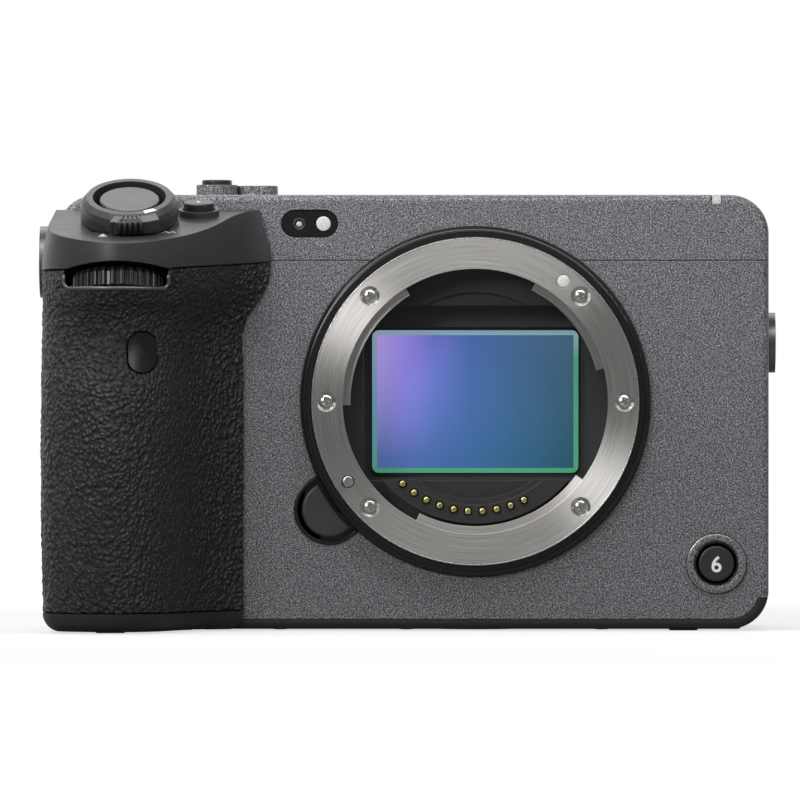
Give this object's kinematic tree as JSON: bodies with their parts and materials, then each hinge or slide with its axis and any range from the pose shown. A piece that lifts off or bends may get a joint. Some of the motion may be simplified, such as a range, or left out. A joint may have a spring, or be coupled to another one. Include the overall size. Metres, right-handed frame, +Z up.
{
  "type": "cinema camera",
  "caption": "Compact full-frame cinema camera body without a lens: leather-grained grip, steel lens ring, sensor, shutter, side-hinged monitor, doors and controls on real joints",
  "frame": {"origin": "mouth of the tripod thread on the plane the camera stands on, under the lens axis", "axes": "+X to the right seen from the front, -Y the way the lens mount faces, +Z up"},
  "size_m": [0.1291, 0.0845, 0.0788],
  "materials": {
    "body_paint": "fine speckled grey paint on magnesium alloy",
    "base_plastic": "matt black moulded base",
    "grip_rubber": "black rubber with a leather grain",
    "grip_frame": "black moulded frame under the rubber",
    "satin_plastic": "satin black plastic",
    "key_plastic": "smooth black keys",
    "bezel_black": "polished black ring",
    "mount_steel": "lathe-brushed steel",
    "screw_steel": "bright screw heads",
    "bead_white": "white index bead",
    "chamber_black": "matt black chamber lining",
    "pin_gold": "gold-plated contacts",
    "sensor_glass": "coated filter glass with a blue and green sheen",
    "sensor_frame": "dark ceramic package",
    "alloy": "cast and machined alloy",
    "board_green": "coated circuit board",
    "shutter_black": "thin blackened blades",
    "dark_glass": "dark infrared and sensor windows",
    "lamp_grey": "pale translucent lamp",
    "button_grey": "dark grey caps",
    "screen_glass": "black touch screen",
    "thread_steel": "dark steel threads",
    "grille_black": "black slotted grilles"
  },
  "bodies": {
    "camera_body": {"front_cover": "body_paint", "top_cover": "body_paint", "rear_cover": "body_paint", "base_plate": "base_plastic", "base_feet": "grip_rubber", "thread_inserts": "thread_steel", "grip_core": "grip_frame", "grip_skin": "grip_rubber", "grip_top_housing": "satin_plastic", "ir_window": "dark_glass", "mount_bezel": "bezel_black", "mount_flange": "mount_steel", "mount_screws": "screw_steel", "index_bead": "bead_white", "contact_block": "chamber_black", "contact_pins": "pin_gold", "lens_chamber": "chamber_black", "shutter_frame": "shutter_black", "stabiliser_base": "alloy", "main_board": "board_green", "heat_sink": "alloy", "sensor_window": "dark_glass", "tally_lamp": "lamp_grey", "shoe_rails": "mount_steel", "microphone_grilles": "grille_black", "card_slots": "grip_frame", "battery": "grip_frame", "terminal_block": "grip_frame", "record_button_ring": "body_paint"},
    "shutter_button": {"shutter_button": "key_plastic"},
    "zoom_lever": {"zoom_lever": "satin_plastic"},
    "front_dial": {"front_dial": "satin_plastic"},
    "top_button": {"top_button": "key_plastic"},
    "plinth_button": {"plinth_button": "key_plastic"},
    "front_record_button": {"front_record_button": "button_grey"},
    "lens_release_button": {"lens_release_button": "satin_plastic"},
    "lens_lock_pin": {"lens_lock_pin": "screw_steel"},
    "sensor_carriage": {"sensor_carriage": "alloy"},
    "sensor": {"sensor_package": "sensor_frame", "sensor_glass": "sensor_glass"},
    "shutter_blade_1": {"shutter_blade_1": "shutter_black"},
    "shutter_blade_2": {"shutter_blade_2": "shutter_black"},
    "shutter_blade_3": {"shutter_blade_3": "shutter_black"},
    "monitor": {"monitor_housing": "satin_plastic", "monitor_glass": "screen_glass", "monitor_hinge": "thread_steel"},
    "rear_dial": {"rear_dial": "satin_plastic"},
    "control_wheel": {"control_wheel": "satin_plastic"},
    "centre_button": {"centre_button": "key_plastic"},
    "joystick": {"joystick": "grip_rubber"},
    "menu_button": {"menu_button": "key_plastic"},
    "function_button": {"function_button": "key_plastic"},
    "playback_button": {"playback_button": "key_plastic"},
    "card_door": {"card_door": "body_paint"},
    "battery_door": {"battery_door": "base_plastic"},
    "battery_latch": {"battery_latch": "satin_plastic"},
    "terminal_door_lower": {"terminal_door_lower": "body_paint"},
    "terminal_door_upper": {"terminal_door_upper": "body_paint"},
    "fan_rotor": {"fan_rotor": "grille_black"},
    "power_switch": {"power_switch": "satin_plastic"}
  },
  "joints": [
    {"name": "shutter_press", "type": "slide", "parent": "camera_body", "child": "shutter_button", "axis": [0, 0.4384, -0.8988], "range_m": [0, 0.0008], "stiffness_N_per_m": 500},
    {"name": "zoom_turn", "type": "hinge", "parent": "camera_body", "child": "zoom_lever", "pos_m": [-0.0596, -0.037, 0.0752], "axis": [0, -0.4384, 0.8988], "range_deg": [-18, 18], "stiffness_Nm_per_rad": 0.05},
    {"name": "front_dial_turn", "type": "hinge", "parent": "camera_body", "child": "front_dial", "pos_m": [-0.0613, -0.0424, 0.0593], "axis": [0, 0.2079, 0.9781], "continuous": true},
    {"name": "top_button_press", "type": "slide", "parent": "camera_body", "child": "top_button", "axis": [0, 0.2028, -0.9792], "range_m": [0, 0.0004], "stiffness_N_per_m": 400},
    {"name": "plinth_button_press", "type": "slide", "parent": "camera_body", "child": "plinth_button", "axis": [0, 0, -1], "range_m": [0, 0.0004], "stiffness_N_per_m": 400},
    {"name": "front_record_press", "type": "slide", "parent": "camera_body", "child": "front_record_button", "axis": [0, 1, 0], "range_m": [0, 0.0004], "stiffness_N_per_m": 400},
    {"name": "lens_release_press", "type": "slide", "parent": "camera_body", "child": "lens_release_button", "axis": [0, 1, 0], "range_m": [0, 0.0015], "stiffness_N_per_m": 400},
    {"name": "lens_lock_draw", "type": "slide", "parent": "camera_body", "child": "lens_lock_pin", "axis": [0, 1, 0], "range_m": [0, 0.0015]},
    {"name": "sensor_shift_x", "type": "slide", "parent": "camera_body", "child": "sensor_carriage", "axis": [1, 0, 0], "range_m": [-0.001, 0.001], "stiffness_N_per_m": 500},
    {"name": "sensor_shift_z", "type": "slide", "parent": "sensor_carriage", "child": "sensor", "axis": [0, 0, 1], "range_m": [-0.001, 0.001], "stiffness_N_per_m": 500, "springref_m": 0.00015},
    {"name": "shutter_travel", "type": "slide", "parent": "camera_body", "child": "shutter_blade_1", "axis": [0, 0, -1], "range_m": [0, 0.0092]},
    {"name": "shutter_travel_2", "type": "slide", "parent": "camera_body", "child": "shutter_blade_2", "axis": [0, 0, -1], "range_m": [0, 0.0184]},
    {"name": "shutter_travel_3", "type": "slide", "parent": "camera_body", "child": "shutter_blade_3", "axis": [0, 0, -1], "range_m": [0, 0.0276]},
    {"name": "monitor_swing", "type": "hinge", "parent": "camera_body", "child": "monitor", "pos_m": [0.0483, 0.0252, 0.0332], "axis": [0, 0, -1], "range_deg": [0, 175]},
    {"name": "rear_dial_turn", "type": "hinge", "parent": "camera_body", "child": "rear_dial", "pos_m": [-0.055, 0.0146, 0.0685], "axis": [0, 0, 1], "continuous": true},
    {"name": "control_wheel_turn", "type": "hinge", "parent": "camera_body", "child": "control_wheel", "pos_m": [-0.052, 0.022, 0.021], "axis": [0, 1, 0], "continuous": true},
    {"name": "centre_press", "type": "slide", "parent": "camera_body", "child": "centre_button", "axis": [0, -1, 0], "range_m": [0, 0.0003], "stiffness_N_per_m": 400},
    {"name": "joystick_tilt", "type": "hinge", "parent": "camera_body", "child": "joystick", "pos_m": [-0.0405, 0.0186, 0.0565], "axis": [1, 0, 0], "range_deg": [-6, 6], "stiffness_Nm_per_rad": 0.05},
    {"name": "menu_press", "type": "slide", "parent": "camera_body", "child": "menu_button", "axis": [0, -1, 0], "range_m": [0, 0.0003], "stiffness_N_per_m": 400},
    {"name": "function_press", "type": "slide", "parent": "camera_body", "child": "function_button", "axis": [0, -1, 0], "range_m": [0, 0.0003], "stiffness_N_per_m": 400},
    {"name": "playback_press", "type": "slide", "parent": "camera_body", "child": "playback_button", "axis": [0, -1, 0], "range_m": [0, 0.0003], "stiffness_N_per_m": 400},
    {"name": "card_door_swing", "type": "hinge", "parent": "camera_body", "child": "card_door", "pos_m": [-0.0719, 0.0184, 0.0355], "axis": [0, 0, -1], "range_deg": [0, 95]},
    {"name": "battery_door_swing", "type": "hinge", "parent": "camera_body", "child": "battery_door", "pos_m": [-0.0475, -0.00665, 0.0011], "axis": [0, -1, 0], "range_deg": [0, 95]},
    {"name": "battery_latch_slide", "type": "slide", "parent": "battery_door", "child": "battery_latch", "axis": [0, 1, 0], "range_m": [0, 0.0026]},
    {"name": "lower_terminal_swing", "type": "hinge", "parent": "camera_body", "child": "terminal_door_lower", "pos_m": [0.0502, -0.002, 0.02], "axis": [0, 0, -1], "range_deg": [0, 95]},
    {"name": "upper_terminal_swing", "type": "hinge", "parent": "camera_body", "child": "terminal_door_upper", "pos_m": [0.0502, -0.002, 0.046], "axis": [0, 0, -1], "range_deg": [0, 95]},
    {"name": "fan_spin", "type": "hinge", "parent": "camera_body", "child": "fan_rotor", "pos_m": [0.02, 0.0047, 0.032], "axis": [0, 1, 0], "continuous": true},
    {"name": "power_turn", "type": "hinge", "parent": "camera_body", "child": "power_switch", "pos_m": [-0.0635, 0.0045, 0.0759], "axis": [0, 0, 1], "range_deg": [0, 30]}
  ],
  "couplings": [
    {"joint": "lens_lock_draw", "follows": "lens_release_press", "ratio": 1},
    {"joint": "shutter_travel_2", "follows": "shutter_travel", "ratio": 2},
    {"joint": "shutter_travel_3", "follows": "shutter_travel", "ratio": 3}
  ]
}
